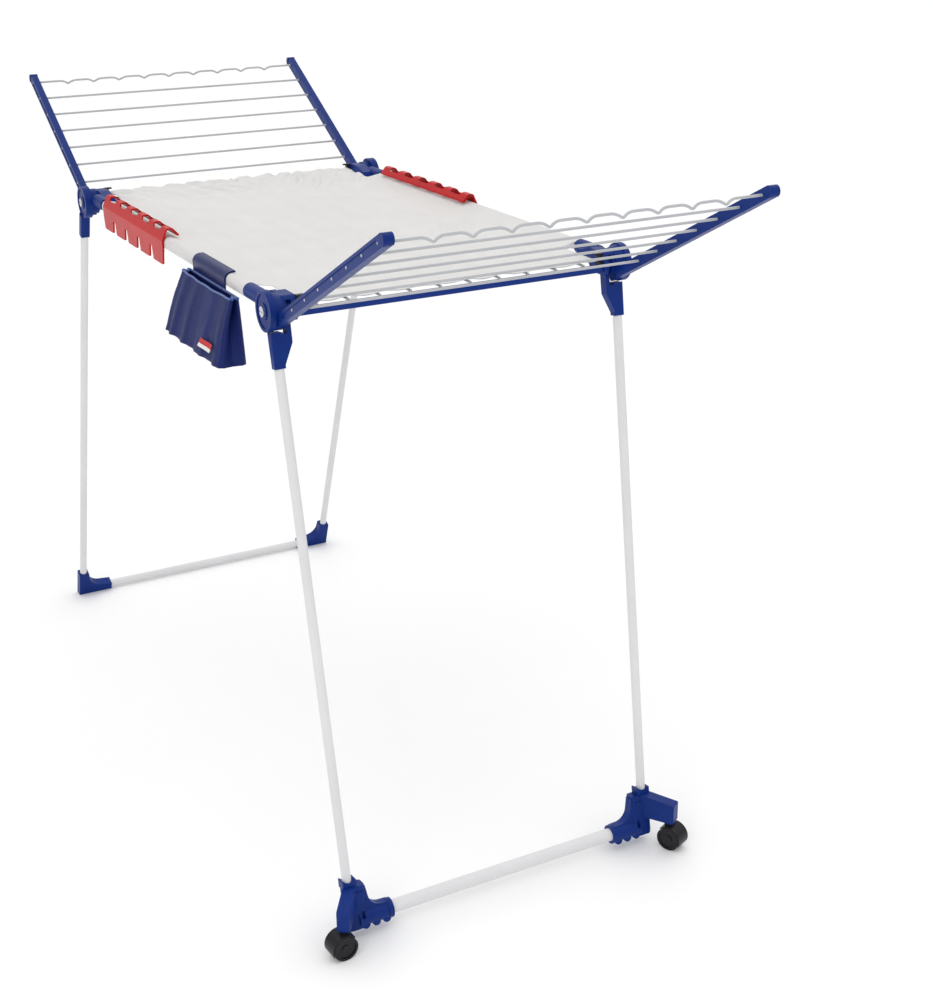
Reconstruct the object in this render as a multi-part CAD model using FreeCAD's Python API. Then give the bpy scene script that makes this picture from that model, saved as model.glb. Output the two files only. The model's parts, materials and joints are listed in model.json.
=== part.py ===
"""Folding clothes drying rack: two tilting wings, a covered centre, two folding leg frames.

Frame: +X towards the wheeled end (front), +Y to its left, +Z up, floor at z = 0.
The origin is the middle of the object's footprint.  Lengths are millimetres.
"""
import FreeCAD, Part
import math
import os

# ---- overall sizes ----
HINGE_SPAN = 940.0
HINGE_HEIGHT = 980.0
ROD_LENGTH = 560.0
FRONT_WING_ANGLE = 27.0
REAR_WING_ANGLE = 30.0
FRONT_LEG_RAKE = 9.0
REAR_LEG_RAKE = 21.5

# ---- wings ----
ROD_RADIUS = 2.0
ROD_PITCH = 54.0
ROD_COUNT = 6
FIRST_ROD = 82.0
ARM_DROP = 20.0
ARM_HEIGHT = 17.0
ARM_WIDTH = 13.0
ARM_START = -8.0
ARM_PAST_ROD = 14.0
ARM_RIDGE = 1.2
HUB_RADIUS = 30.0
HUB_DISC = 10.0
HUB_NECK = 23.0
REAR_HUB_RADIUS = 24.0
WAVE_PITCH = 54.5
WAVE_COUNT = 9
WAVE_SLOPE = 40.0
WAVE_NOTCH = 4.0
WAVE_SHOULDER = 24.0

# ---- centre frame ----
TUBE_RADIUS = 9.0
TUBE_WALL = 1.2
TUBE_PAST_ROD = 5.0
TUBE_RISE = 8.0
END_BAR = 11.0
END_BAR_WALL = 1.5
END_BAR_OUT = 12.0
END_BAR_DROP = 4.0
CENTRE_RODS = 10
CENTRE_ROD_PITCH = 50.0
MIDDLE_BAR_RADIUS = 4.5
PIN_RADIUS = 5.0
PIN_CLEARANCE = 0.05
PIN_HEAD = 8.0
FIT = 0.1
GAP = 0.5
BLOCK_RADIUS = 22.0
BLOCK_DEPTH = 21.0
CHEEK = 4.5
EYE_WIDTH = 7.0
EYE_RADIUS = 15.0
EAR_NEAR = 38.0
EAR_FAR = 95.0
EAR_WALL = 3.0

# ---- cloth, holders, peg bag ----
CLOTH = 1.0
CLOTH_GAP = 0.2
HOOK_ROOM = 8.0
HOOK_WALL = 2.5
HOLDER_START = 120.0
HOLDER_LENGTH = 350.0
HOLDER_WALL = 2.5
HOLDER_CREST = 14.0
HOLDER_INSET = 17.0
WINDOW_INSET = 10.0
WINDOW_WIDTH = 18.0
HOLDER_RIBS = 6
HOLDER_RIB = 24.0
HOLDER_DROP = 28.0
FLAP_COUNT = 5
FLAP_SLOT = 12.0
FLAP_WALL = 3.0
BAG_SIDE = -1
BAG_START = 138.0
BAG_LENGTH = 226.0
BAG_FLARE = 18.0
BAG_CORNER = 6.0
BAG_RIM = -6.0
BAG_HEIGHT = 96.0
BAG_TOP = 14.0
BAG_BASE = 46.0
BAG_WALL = 1.5
CLIP_LENGTH = 146.0
CLIP_OFFSET = 14.0
TAG_START = 157.0
TAG_WIDTH = 50.0
TAG_HEIGHT = 12.0
TAG_DROP = 0.72

# ---- legs and feet ----
LEG_RADIUS = 7.5
LEG_WALL = 1.2
FRONT_LEG_INSET = 5.5
FRONT_LEG_TOP_PAST_ROD = 10.0
SLEEVE_SIDE_WALL = 1.25
SLEEVE_FACE_WALL = 0.5
FOOT_WALL = 3.5
SLEEVE_START = 34.0
SLEEVE_END = {"front": 84.0, "rear": 74.0}
SLEEVE_SADDLE = 32.0
FRONT_BAR_RADIUS = 11.0
FRONT_BAR_HEIGHT = 29.0
REAR_BAR_RADIUS = 8.0
REAR_BAR_HEIGHT = 11.0
REAR_FOOT_FACE_WALL = 2.5
REAR_FOOT_HEIGHT = 66.0
REAR_FOOT_REACH = 65.0
FRONT_FOOT_REACH = 68.0
FRONT_FOOT_HEIGHT = 58.0
COLLAR = 12.0
OUTRIGGER_TURN = 34.0
OUTRIGGER_LENGTH = 61.0
OUTRIGGER_WIDTH = 20.0
OUTRIGGER_TOP = 90.0

# ---- casters ----
WHEEL_RADIUS = 20.5
WHEEL_WIDTH = 11.5
WHEEL_GAP = 0.5
CASTER_WEB = 6.0
HOOD_GAP = 0.8
HOOD_WALL = 1.6
AXLE_RADIUS = 2.5
STEM_RADIUS = 4.0
STEM_OFFSET = 50.0
STEM_DEPTH = 20.0
CASTER_TRAIL = 6.0
CASTER_TURN = {"right": 4.0, "left": 115.0}

ORIGIN = FreeCAD.Vector(0, 0, 0)
X = FreeCAD.Vector(1, 0, 0)
Y = FreeCAD.Vector(0, 1, 0)
Z = FreeCAD.Vector(0, 0, 1)
SIDES = {"left": 1, "right": -1}
ENDS = {"front": 1, "rear": -1}
WING_ANGLE = {"front": FRONT_WING_ANGLE, "rear": REAR_WING_ANGLE}
LEG_RAKE = {"front": FRONT_LEG_RAKE, "rear": REAR_LEG_RAKE}

# ---- sizes worked out from the ones above ----
TUBE_SIDE = ROD_LENGTH / 2 + TUBE_PAST_ROD
ARM_INNER = ROD_LENGTH / 2 - 1.0
ARM_OUTER = ARM_INNER + ARM_WIDTH
LAST_ROD = FIRST_ROD + ROD_COUNT * ROD_PITCH
ARM_END = LAST_ROD + ARM_PAST_ROD
HUB_FACE = ARM_OUTER + 1.0
HUB_OUTER = HUB_FACE + HUB_DISC
REAR_HUB_FACE = ARM_OUTER + GAP
BLOCK_INNER = ARM_INNER - BLOCK_DEPTH
EAR_RADIUS = TUBE_RADIUS + EAR_WALL
SLEEVE_WIDTH = 2 * (LEG_RADIUS + SLEEVE_SIDE_WALL)
SLEEVE_DEPTH = 2 * (LEG_RADIUS + SLEEVE_FACE_WALL)
FRONT_LEG_SIDE = ROD_LENGTH / 2 - FRONT_LEG_INSET
FRONT_LEG_TOP_SIDE = ROD_LENGTH / 2 + FRONT_LEG_TOP_PAST_ROD
REAR_LEG_SIDE = REAR_HUB_FACE + GAP / 2 + SLEEVE_WIDTH / 2
REAR_FOOT_DEPTH = 2 * (LEG_RADIUS + REAR_FOOT_FACE_WALL)
FOOT_HALF = LEG_RADIUS + FOOT_WALL
EYE_OUTER = ARM_INNER - 1.0 - CHEEK
EYE_INNER = EYE_OUTER - EYE_WIDTH
CLOTH_TOP = TUBE_RISE + TUBE_RADIUS + CLOTH_GAP + CLOTH
ROD_BED = END_BAR / 2 - END_BAR_DROP + ROD_RADIUS
SADDLE_RADIUS = TUBE_RADIUS + CLOTH_GAP + CLOTH + 0.4
BAG_INNER = TUBE_SIDE + TUBE_RADIUS + 5.0


def wing_reach(angle):
    """Distance from a hinge axis to the wing's tip, along X, at rest."""
    turn = math.radians(angle)
    return ARM_END * math.cos(turn) + ARM_DROP * math.sin(turn) + ARM_HEIGHT / 2


def foot_reach(rake):
    """Distance from the rear hinge axis to the rear foot's outer edge on the floor."""
    turn = math.radians(rake)
    return HINGE_HEIGHT * math.tan(turn) + REAR_FOOT_DEPTH / 2 / math.cos(turn)


FRONT_REACH = wing_reach(FRONT_WING_ANGLE)
REAR_REACH = max(wing_reach(REAR_WING_ANGLE), foot_reach(REAR_LEG_RAKE))
MID_SPAN = (REAR_REACH - FRONT_REACH) / 2
HINGE_X = {"front": MID_SPAN + HINGE_SPAN / 2, "rear": MID_SPAN - HINGE_SPAN / 2}


# ---- shape helpers ----
def box(x0, x1, y0, y1, z0, z1):
    low = FreeCAD.Vector(min(x0, x1), min(y0, y1), min(z0, z1))
    return Part.makeBox(abs(x1 - x0), abs(y1 - y0), abs(z1 - z0), low)


def rod_along_y(x, z, radius, y0, y1):
    return Part.makeCylinder(radius, abs(y1 - y0), FreeCAD.Vector(x, min(y0, y1), z), Y)


def rod_along_x(y, z, radius, x0, x1):
    return Part.makeCylinder(radius, abs(x1 - x0), FreeCAD.Vector(min(x0, x1), y, z), X)


def rod_along_z(x, y, radius, z0, z1):
    return Part.makeCylinder(radius, abs(z1 - z0), FreeCAD.Vector(x, y, min(z0, z1)), Z)


def cone_along_y(radius0, radius1, y0, y1):
    """Cone on the Y axis, radius0 at y0 and radius1 at y1."""
    if y1 > y0:
        return Part.makeCone(radius0, radius1, y1 - y0, FreeCAD.Vector(0, y0, 0), Y)
    return Part.makeCone(radius1, radius0, y0 - y1, FreeCAD.Vector(0, y1, 0), Y)


def rounded_loop(corners, to_space):
    """Closed wire through corners (a, b, radius), each corner rounded by its radius."""
    count = len(corners)
    pieces = []
    for index in range(count):
        before = corners[index - 1]
        here = corners[index]
        after = corners[(index + 1) % count]
        radius = here[2]
        point = (here[0], here[1])
        if radius == 0:
            pieces.append((point, point, None))
            continue
        back = (before[0] - point[0], before[1] - point[1])
        ahead = (after[0] - point[0], after[1] - point[1])
        back_length = math.hypot(*back)
        ahead_length = math.hypot(*ahead)
        back = (back[0] / back_length, back[1] / back_length)
        ahead = (ahead[0] / ahead_length, ahead[1] / ahead_length)
        half = math.acos(max(-1.0, min(1.0, back[0] * ahead[0] + back[1] * ahead[1]))) / 2
        run = radius / math.tan(half)
        bisector = (back[0] + ahead[0], back[1] + ahead[1])
        scale = radius / math.sin(half) / math.hypot(*bisector)
        centre = (point[0] + bisector[0] * scale, point[1] + bisector[1] * scale)
        inward = (point[0] - centre[0], point[1] - centre[1])
        reach = radius / math.hypot(*inward)
        middle = (centre[0] + inward[0] * reach, centre[1] + inward[1] * reach)
        first = (point[0] + back[0] * run, point[1] + back[1] * run)
        last = (point[0] + ahead[0] * run, point[1] + ahead[1] * run)
        pieces.append((first, last, middle))
    edges = []
    for index in range(count):
        first, last, middle = pieces[index]
        if middle is not None:
            edges.append(Part.Arc(to_space(*first), to_space(*middle), to_space(*last)).toShape())
        start_next = pieces[(index + 1) % count][0]
        if math.dist(last, start_next) > 1e-6:
            edges.append(Part.LineSegment(to_space(*last), to_space(*start_next)).toShape())
    return Part.Wire(edges)


def plate_y(corners, y0, y1):
    """Rounded outline in X and Z, as a plate from y0 to y1."""
    wire = rounded_loop(corners, lambda a, b: FreeCAD.Vector(a, y0, b))
    return Part.Face(wire).extrude(FreeCAD.Vector(0, y1 - y0, 0))


def plate_x(corners, x0, x1):
    """Rounded outline in Y and Z, as a bar from x0 to x1."""
    wire = rounded_loop(corners, lambda a, b: FreeCAD.Vector(x0, a, b))
    return Part.Face(wire).extrude(FreeCAD.Vector(x1 - x0, 0, 0))


def plate_z(corners, z0, z1):
    """Rounded outline in X and Y, as a bar from z0 to z1."""
    wire = rounded_loop(corners, lambda a, b: FreeCAD.Vector(a, b, z0))
    return Part.Face(wire).extrude(FreeCAD.Vector(0, 0, z1 - z0))


def rectangle(a0, a1, b0, b1, radius):
    return [(a0, b0, radius), (a1, b0, radius), (a1, b1, radius), (a0, b1, radius)]


def fuse_all(shapes):
    whole = shapes[0].multiFuse(shapes[1:]) if len(shapes) > 1 else shapes[0]
    return whole.removeSplitter()


def turned(shape, axis, degrees, centre=ORIGIN):
    copy = shape.copy()
    copy.rotate(centre, axis, degrees)
    return copy


def moved(shape, x=0.0, y=0.0, z=0.0):
    copy = shape.copy()
    copy.translate(FreeCAD.Vector(x, y, z))
    return copy


def to_end(shape, end):
    """Carry a shape modelled about a front hinge axis to its real end of the rack."""
    faced = shape if end == "front" else turned(shape, Z, 180)
    return moved(faced, HINGE_X[end], 0, HINGE_HEIGHT)


def write(name, shape):
    solids = shape.Solids
    result = solids[0] if len(solids) == 1 else Part.makeCompound(solids)
    result.exportStep(os.path.join("parts", name + ".step"))


# ---- wings ----
def wing_to_rack(shape, end):
    return to_end(turned(shape, Y, -WING_ANGLE[end]), end)


def rod_positions():
    return [FIRST_ROD + index * ROD_PITCH for index in range(ROD_COUNT)]


def wing_arm(side):
    """Arm profile with a raised rib along its outer face and a blind hole for each rod."""
    low = -ARM_DROP - ARM_HEIGHT / 2
    high = -ARM_DROP + ARM_HEIGHT / 2
    inner = side * ARM_INNER
    outer = side * ARM_OUTER
    arm = plate_y(rectangle(ARM_START, ARM_END, low, high, 3.0), inner, outer)
    groove = rectangle(HUB_RADIUS + 12.0, ARM_END - 14.0, -ARM_DROP - 4.0, -ARM_DROP + 4.0, 3.0)
    arm = arm.cut(plate_y(groove, outer - side * ARM_RIDGE, outer + side))
    for along in rod_positions() + [LAST_ROD]:
        hole = rod_along_y(along, -ARM_DROP, ROD_RADIUS + FIT / 2, inner - side, outer + side)
        arm = arm.cut(hole)
    return arm


def wing_tip(side):
    """Rounded cap that closes the arm's end."""
    inner = side * (ARM_INNER - 1.0)
    outer = side * (ARM_OUTER + 1.0)
    radius = ARM_HEIGHT / 2
    cap = rod_along_y(ARM_END, -ARM_DROP, radius, inner, outer)
    half = box(ARM_END, ARM_END + 2 * radius, inner, outer, -ARM_DROP - radius, -ARM_DROP + radius)
    return cap.common(half)


def front_hub(side):
    """Disc cap and cone of the front wing, seated on the root of its arm."""
    face = side * HUB_FACE
    disc = rod_along_y(0, 0, HUB_RADIUS, face, side * HUB_OUTER)
    rim = rod_along_y(0, 0, HUB_RADIUS - 5.0, side * (HUB_OUTER - 1.5), side * (HUB_OUTER + 1))
    boss = rod_along_y(0, 0, PIN_HEAD + 4.0, side * (HUB_OUTER - 1.5), side * HUB_OUTER)
    disc = disc.cut(rim).fuse(boss)
    cone = cone_along_y(HUB_RADIUS - 2.0, HUB_NECK, face, side * ARM_INNER)
    arm_room = box(ARM_START - 30, HUB_RADIUS + 5, side * (ARM_INNER - 5), face,
                   -HUB_RADIUS - 5, -ARM_DROP + ARM_HEIGHT / 2)
    whole = disc.fuse(cone.cut(arm_room))
    bore = rod_along_y(0, 0, PIN_RADIUS + PIN_CLEARANCE, side * (ARM_INNER - 2), side * (HUB_OUTER + 2))
    return whole.cut(bore).removeSplitter()


def rear_hub(side):
    """Round hub of the rear wing, between the corner block and the leg's disc."""
    outer = side * REAR_HUB_FACE
    hub = rod_along_y(0, 0, REAR_HUB_RADIUS, side * ARM_INNER, outer)
    arm_room = box(ARM_START - 30, REAR_HUB_RADIUS + 5, side * (ARM_INNER - 1), side * ARM_OUTER,
                   -REAR_HUB_RADIUS - 15, -ARM_DROP + ARM_HEIGHT / 2)
    bore = rod_along_y(0, 0, PIN_RADIUS + PIN_CLEARANCE, side * (ARM_INNER - 2), side * (REAR_HUB_FACE + 2))
    return hub.cut(arm_room).cut(bore).removeSplitter()


def straight_rods():
    end = ARM_OUTER - GAP
    return [rod_along_y(along, -ARM_DROP, ROD_RADIUS, -end, end) for along in rod_positions()]


def wave_edges():
    """Centre line of the hanger rod: flat humps joined by tight valleys, in Y and Z."""
    turn = math.radians(WAVE_SLOPE)
    depth = (WAVE_SHOULDER + WAVE_NOTCH) * (1 - math.cos(turn))
    reach = (WAVE_SHOULDER + WAVE_NOTCH) * math.sin(turn)

    def point(y, z):
        return FreeCAD.Vector(0, y, z)

    def shoulder(centre, angle):
        return point(centre + WAVE_SHOULDER * math.sin(angle), WAVE_SHOULDER * (math.cos(angle) - 1))

    def notch(centre, angle):
        return point(centre + WAVE_NOTCH * math.sin(angle), WAVE_NOTCH * (1 - math.cos(angle)) - depth)

    def arc(place, centre, start, stop):
        middle = (start + stop) / 2
        return Part.Arc(place(centre, start), place(centre, middle), place(centre, stop)).toShape()

    end = ARM_OUTER - GAP
    edges = []
    before = -end
    for index in range(WAVE_COUNT):
        valley = (index - (WAVE_COUNT - 1) / 2) * WAVE_PITCH
        edges.append(Part.LineSegment(point(before, 0), point(valley - reach, 0)).toShape())
        edges.append(arc(shoulder, valley - reach, 0, turn))
        edges.append(arc(notch, valley, -turn, turn))
        edges.append(arc(shoulder, valley + reach, -turn, 0))
        before = valley + reach
    edges.append(Part.LineSegment(point(before, 0), point(end, 0)).toShape())
    return edges


def hanger_rod():
    path = Part.Wire(wave_edges())
    start = FreeCAD.Vector(0, -(ARM_OUTER - GAP), 0)
    section = Part.Wire([Part.makeCircle(ROD_RADIUS, start, Y)])
    rod = path.makePipeShell([section], True, True)
    return moved(rod, LAST_ROD, 0, -ARM_DROP)


# ---- centre frame ----
def block_pin_hole(side):
    return rod_along_y(0, 0, PIN_RADIUS + 0.02, side * (BLOCK_INNER - 5), side * (HUB_OUTER + 20))


def block_ear(side):
    """Socket for the side tube, standing inward of the hinge."""
    centre = side * TUBE_SIDE
    ear = rod_along_x(centre, TUBE_RISE, EAR_RADIUS, -EAR_FAR, -EAR_NEAR)
    socket = rod_along_x(centre, TUBE_RISE, TUBE_RADIUS + FIT, -EAR_FAR - 5, -EAR_NEAR - 12.0)
    return ear, socket


def corner_block(end, side):
    """Hinge block: cheeks on the pin, a hood over them, the tube's ear and the end bar's spigot."""
    outer = side * (ARM_INNER - GAP)
    inner = side * BLOCK_INNER
    low = -END_BAR_DROP - END_BAR / 2 - 5.0
    outline = [(-EAR_NEAR - 24.0, -3.0, 4.0), (-EAR_NEAR + 12.0, -3.0, 0.0), (-18.0, low, 6.0),
               (19.0, low, 6.0), (21.0, 2.0, 8.0), (12.0, BLOCK_RADIUS, 9.0),
               (-EAR_NEAR + 14.0, BLOCK_RADIUS, 12.0), (-EAR_NEAR - 24.0, 12.0, 6.0)]
    body = plate_y(outline, inner, outer)
    if end == "front":
        slot = box(-EAR_NEAR - 1.0, BLOCK_RADIUS + 5, side * (EYE_INNER - GAP), side * (EYE_OUTER + GAP),
                   -BLOCK_RADIUS - 5, EYE_RADIUS + 1.0)
        body = body.cut(slot)
    bridge_top = min(BLOCK_RADIUS - 4.0, TUBE_RISE + EAR_RADIUS)
    bridge = box(-EAR_NEAR - 22.0, -EAR_NEAR, side * (ARM_INNER - 20), side * TUBE_SIDE,
                 -2.0, bridge_top - 4.0)
    ear, socket = block_ear(side)
    spigot = END_BAR - 2 * END_BAR_WALL - 2 * FIT
    post = box(END_BAR_OUT - spigot / 2, END_BAR_OUT + spigot / 2, inner, side * (BLOCK_INNER - 20.0),
               -END_BAR_DROP - spigot / 2, -END_BAR_DROP + spigot / 2)
    whole = fuse_all([body, bridge, ear, post])
    return to_end(whole.cut(socket).cut(block_pin_hole(side)), end)


def hinge_pin(end, side):
    outer = HUB_OUTER if end == "front" else REAR_LEG_SIDE + SLEEVE_WIDTH / 2 - 3.0
    shaft = rod_along_y(0, 0, PIN_RADIUS, side * (BLOCK_INNER + 2.0), side * outer)
    head = rod_along_y(0, 0, PIN_HEAD, side * (outer + GAP / 5), side * (outer + 2.5))
    neck = rod_along_y(0, 0, PIN_RADIUS, side * outer, side * (outer + 1.0))
    slot = box(-PIN_HEAD, PIN_HEAD, side * (outer + 1.6), side * (outer + 4), -1.0, 1.0)
    return to_end(fuse_all([shaft, neck, head]).cut(slot), end)


def side_tube(side):
    reach = HINGE_SPAN / 2 - EAR_NEAR - 12.5
    outer = rod_along_x(side * TUBE_SIDE, 0, TUBE_RADIUS, -reach, reach)
    bore = rod_along_x(side * TUBE_SIDE, 0, TUBE_RADIUS - TUBE_WALL, -reach - 1, reach + 1)
    return moved(outer.cut(bore), MID_SPAN, 0, HINGE_HEIGHT + TUBE_RISE)


def end_bar(end):
    half = END_BAR / 2
    hollow = half - END_BAR_WALL
    length = BLOCK_INNER - FIT
    outer = plate_y(rectangle(END_BAR_OUT - half, END_BAR_OUT + half, -half, half, 2.0), -length, length)
    inner = box(END_BAR_OUT - hollow, END_BAR_OUT + hollow, -length - 1, length + 1, -hollow, hollow)
    return to_end(moved(outer.cut(inner), 0, 0, -END_BAR_DROP), end)


def centre_rods():
    reach = HINGE_SPAN / 2 + END_BAR_OUT
    rods = []
    for index in range(CENTRE_RODS):
        across = (index - (CENTRE_RODS - 1) / 2) * CENTRE_ROD_PITCH
        rods.append(rod_along_x(across, ROD_BED, ROD_RADIUS, -reach, reach))
    return moved(Part.makeCompound(rods), MID_SPAN, 0, HINGE_HEIGHT)


def middle_bar():
    """Cross bar under the rods, coped to the side tubes."""
    height = ROD_BED - ROD_RADIUS - MIDDLE_BAR_RADIUS
    bar = rod_along_y(0, height, MIDDLE_BAR_RADIUS, -TUBE_SIDE, TUBE_SIDE)
    for side in SIDES.values():
        reach = TUBE_RADIUS * 3
        bar = bar.cut(rod_along_x(side * TUBE_SIDE, TUBE_RISE, TUBE_RADIUS, -reach, reach))
        bar = bar.cut(box(-reach, reach, side * TUBE_SIDE, side * (TUBE_SIDE - 4.0), -40, 40))
    return moved(bar, MID_SPAN, 0, HINGE_HEIGHT)


def cover_cloth():
    """Cloth over the centre frame: wide between the ears, narrow between the blocks."""
    under = CLOTH_TOP - CLOTH
    wide = HINGE_SPAN / 2 - EAR_FAR - 2.0
    long = HINGE_SPAN / 2 + END_BAR_OUT
    narrow = BLOCK_INNER - HOOK_ROOM
    ring_out = TUBE_RADIUS + CLOTH_GAP + CLOTH
    ring_in = TUBE_RADIUS + CLOTH_GAP
    pieces = [box(-wide, wide, -TUBE_SIDE, TUBE_SIDE, under, CLOTH_TOP),
              box(-long, long, -narrow, narrow, under, CLOTH_TOP)]
    for side in SIDES.values():
        ring = rod_along_x(side * TUBE_SIDE, TUBE_RISE, ring_out, -wide, wide)
        ring = ring.cut(rod_along_x(side * TUBE_SIDE, TUBE_RISE, ring_in, -wide - 1, wide + 1))
        quarter = box(-wide, wide, side * TUBE_SIDE, side * (TUBE_SIDE + ring_out + 1),
                      TUBE_RISE, TUBE_RISE + ring_out + 1)
        pieces.append(ring.common(quarter))
        drop_in = side * (TUBE_SIDE + ring_in)
        drop_out = side * (TUBE_SIDE + ring_out)
        pieces.append(box(-wide, wide, drop_in, drop_out, 0, TUBE_RISE))
    return moved(fuse_all(pieces), MID_SPAN, 0, HINGE_HEIGHT)


def cloth_hook(end, side):
    """Hook that stands on the end bar and reaches over a corner of the cloth."""
    near = side * (BLOCK_INNER - GAP)
    far = side * (BLOCK_INNER - HOOK_ROOM + GAP)
    bar_top = END_BAR / 2 - END_BAR_DROP + GAP / 5
    front = END_BAR_OUT - 4.0
    back = END_BAR_OUT + 4.0
    post = box(front, back, near, far, bar_top, CLOTH_TOP + HOOK_WALL + GAP)
    head = box(front, back, near, far - side * 6.0, CLOTH_TOP + GAP, CLOTH_TOP + HOOK_WALL + GAP)
    return to_end(post.fuse(head).removeSplitter(), end)


# ---- holders ----
def saddle_section(inner_radius, wall, side):
    """Outer quarter of a clip that sits over a side tube, as a ring sector in Y and Z."""
    ring = rod_along_x(side * TUBE_SIDE, TUBE_RISE, inner_radius + wall, 0, 1)
    ring = ring.cut(rod_along_x(side * TUBE_SIDE, TUBE_RISE, inner_radius, -1, 2))
    reach = inner_radius + wall + 1
    keep = box(0, 1, side * TUBE_SIDE, side * (TUBE_SIDE + reach), TUBE_RISE, TUBE_RISE + reach)
    return ring.common(keep)


def stretched_along_x(section, x0, x1):
    """A one-millimetre-long section made x1 - x0 long."""
    face = [f for f in section.Faces if abs(f.CenterOfMass.x) < 1e-6 and abs(f.normalAt(0, 0).x) > 0.99]
    return moved(face[0].extrude(FreeCAD.Vector(x1 - x0, 0, 0)), x0)


def holder_crest():
    """Cross-section of the holder's arch over the tube, outer line then inner line, in Y and Z."""
    outer_radius = SADDLE_RADIUS + HOLDER_WALL
    foot = TUBE_SIDE - HOLDER_INSET
    flat = TUBE_RISE + SADDLE_RADIUS
    crest = flat + HOLDER_CREST
    outside = TUBE_SIDE + outer_radius + 1.0
    return [(foot, flat, 0), (foot + 1.0, flat + 3.0, 1), (TUBE_SIDE - 6.0, crest, 5),
            (TUBE_SIDE + 5.0, crest, 6), (outside, TUBE_RISE + 4.0, 3), (outside, -6.0, 0),
            (outside - HOLDER_WALL - 1.0, -6.0, 0), (TUBE_SIDE + SADDLE_RADIUS, TUBE_RISE + 2.0, 2),
            (TUBE_SIDE + 3.5, crest - HOLDER_WALL, 4), (TUBE_SIDE - 5.0, crest - HOLDER_WALL, 3),
            (foot + 4.0, flat, 0)]


def item_holder(side):
    """Arch with a row of windows over the side tube, and a comb of hanging tongues outside it."""
    start = -HINGE_SPAN / 2 + HOLDER_START
    stop = start + HOLDER_LENGTH
    arch = plate_x([(side * y, z, radius) for y, z, radius in holder_crest()], start, stop)
    step = (HOLDER_LENGTH - HOLDER_RIB) / (HOLDER_RIBS - 1)
    window_in = side * (TUBE_SIDE - WINDOW_INSET)
    window_out = window_in + side * WINDOW_WIDTH
    for index in range(HOLDER_RIBS - 1):
        low = start + HOLDER_RIB + index * step
        window = rectangle(low, low + step - HOLDER_RIB, window_in, window_out, 6.0)
        top = TUBE_RISE + SADDLE_RADIUS + HOLDER_CREST
        arch = arch.cut(plate_z(window, TUBE_RISE, top + 5.0))
    flap_step = (HOLDER_LENGTH + FLAP_SLOT) / FLAP_COUNT
    outer = side * (TUBE_SIDE + SADDLE_RADIUS + HOLDER_WALL + 1.0)
    pieces = [arch]
    for index in range(FLAP_COUNT):
        left = start + index * flap_step
        right = left + flap_step - FLAP_SLOT
        tongue = [(left, -4.0, 0.0), (left + 5.0, -HOLDER_DROP, 3.0), (right - 5.0, -HOLDER_DROP, 3.0),
                  (right, -4.0, 0.0)]
        pieces.append(plate_y(tongue, outer - side * FLAP_WALL, outer))
    return moved(fuse_all(pieces), MID_SPAN, 0, HINGE_HEIGHT)


# ---- peg bag ----
def bag_ring(height, flare, depth, shrink):
    """Rounded outline of the bag at one height, as a wire in X and Y."""
    start = BAG_START - flare + shrink
    stop = BAG_START + BAG_LENGTH + flare - shrink
    near = BAG_INNER + shrink
    far = BAG_INNER + depth - shrink
    corners = rectangle(start, stop, BAG_SIDE * near, BAG_SIDE * far, BAG_CORNER - shrink)
    return rounded_loop(corners, lambda a, b: FreeCAD.Vector(a, b, height))


def bag_shape(shrink, rim):
    """Bag with a narrow mouth and a base that is longer and deeper."""
    floor = BAG_RIM - BAG_HEIGHT + shrink
    fall = (BAG_RIM - floor) / BAG_HEIGHT
    base = bag_ring(floor, BAG_FLARE * fall, BAG_TOP + (BAG_BASE - BAG_TOP) * fall, shrink)
    rise = (rim - BAG_RIM) / BAG_HEIGHT
    mouth = bag_ring(rim, -BAG_FLARE * rise, BAG_TOP - (BAG_BASE - BAG_TOP) * rise, shrink)
    return Part.makeLoft([base, mouth], True, True)


def peg_bag():
    shell = bag_shape(0.0, BAG_RIM).cut(bag_shape(BAG_WALL, BAG_RIM + 2.0))
    return moved(shell, MID_SPAN, 0, HINGE_HEIGHT)


def peg_bag_clip():
    """Saddle over the side tube with a tab that holds the bag's inner rim."""
    start = BAG_START + CLIP_OFFSET
    section = saddle_section(SADDLE_RADIUS, HOLDER_WALL, BAG_SIDE)
    saddle = stretched_along_x(section, start, start + CLIP_LENGTH)
    flat_low = TUBE_RISE + SADDLE_RADIUS
    lip = box(start, start + CLIP_LENGTH, BAG_SIDE * (TUBE_SIDE - 6), BAG_SIDE * TUBE_SIDE,
              flat_low, flat_low + HOLDER_WALL)
    tab = box(start, start + CLIP_LENGTH, BAG_SIDE * (TUBE_SIDE + SADDLE_RADIUS), BAG_SIDE * (BAG_INNER - 1.3),
              BAG_RIM - 14.0, TUBE_RISE)
    return moved(fuse_all([saddle, lip, tab]), MID_SPAN, 0, HINGE_HEIGHT)


def peg_bag_label():
    """Plain cloth tag on the bag's outer face."""
    spread = BAG_BASE - BAG_TOP
    slope = math.degrees(math.atan2(spread, BAG_HEIGHT))
    start = BAG_START + TAG_START
    tag = box(start, start + TAG_WIDTH, 0.1, 0.8, -TAG_HEIGHT, 0.0)
    tag = turned(tag, X, slope)
    facing = tag.mirror(ORIGIN, Y) if BAG_SIDE < 0 else tag
    across = BAG_SIDE * (BAG_INNER + BAG_TOP + spread * TAG_DROP)
    height = BAG_RIM - BAG_HEIGHT * TAG_DROP
    return moved(facing, MID_SPAN, across, HINGE_HEIGHT + height)


# ---- legs ----
def leg_to_rack(shape, end):
    return to_end(turned(shape, Y, -LEG_RAKE[end]), end)


def leg_side(end):
    return FRONT_LEG_SIDE if end == "front" else REAR_LEG_SIDE


def leg_top_side(end):
    return FRONT_LEG_TOP_SIDE if end == "front" else REAR_LEG_SIDE


def leg_splay(end):
    """Angle by which a leg leans inward towards the floor, seen along X."""
    height = HINGE_HEIGHT - FRONT_BAR_HEIGHT
    return math.degrees(math.atan2(leg_top_side(end) - leg_side(end), height))


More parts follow.
